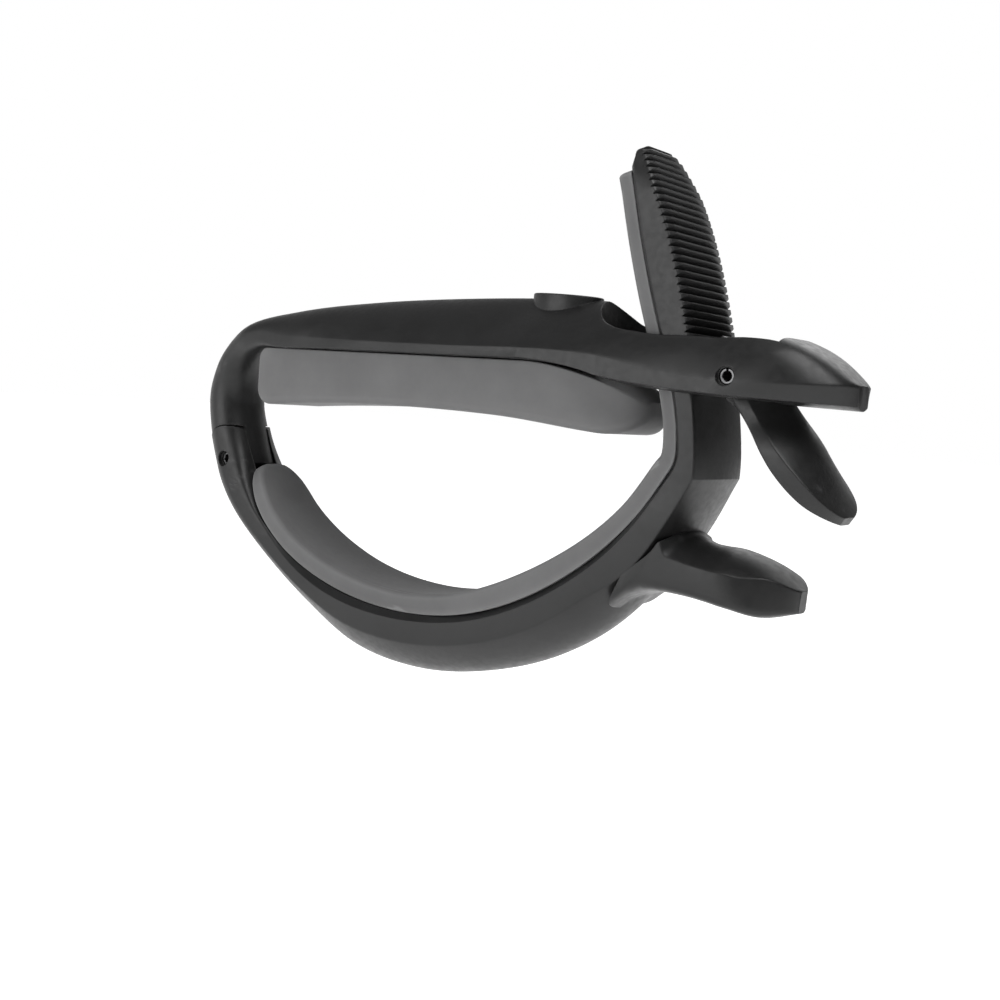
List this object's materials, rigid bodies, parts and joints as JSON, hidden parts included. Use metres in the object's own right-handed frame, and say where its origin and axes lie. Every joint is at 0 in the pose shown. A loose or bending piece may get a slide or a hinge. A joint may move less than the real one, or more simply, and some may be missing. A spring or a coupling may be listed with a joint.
{
  "type": "ratchet guitar capo",
  "caption": "Trigger-release ratchet capo for a guitar neck: a straight bar with a string pad, a padded curved jaw with a toothed arm, and a release lever",
  "frame": {"origin": "the middle of the string pad's contact face, where it rests on the strings", "axes": "+X along the bar from the hinge end to the tail and release lever, +Y along the hinge pin, +Z away from the strings through the bar"},
  "size_m": [0.0908, 0.015, 0.061],
  "materials": {
    "black_plastic": "black glass-filled nylon with a satin moulded skin",
    "grey_rubber": "matt grey soft rubber with paler rounded edges",
    "pin_steel": "dark drawn spring steel"
  },
  "bodies": {
    "bar": {"upper_arm": "black_plastic", "string_pad": "grey_rubber", "pivot_pin": "pin_steel", "lever_spring": "pin_steel"},
    "jaw": {"lower_jaw": "black_plastic", "neck_pad": "grey_rubber", "hinge_pin": "pin_steel"},
    "lever": {"release_lever": "black_plastic"}
  },
  "joints": [
    {"name": "jaw_hinge", "type": "hinge", "parent": "bar", "child": "jaw", "pos_m": [-0.0342, 0, -0.00875], "axis": [0, 1, 0], "range_deg": [0, 55]},
    {"name": "lever_pivot", "type": "hinge", "parent": "bar", "child": "lever", "pos_m": [0.0394, 0, 0.0055], "axis": [0, 1, 0], "range_deg": [0, 12], "stiffness_Nm_per_rad": 0.1, "springref_deg": -20.05}
  ]
}
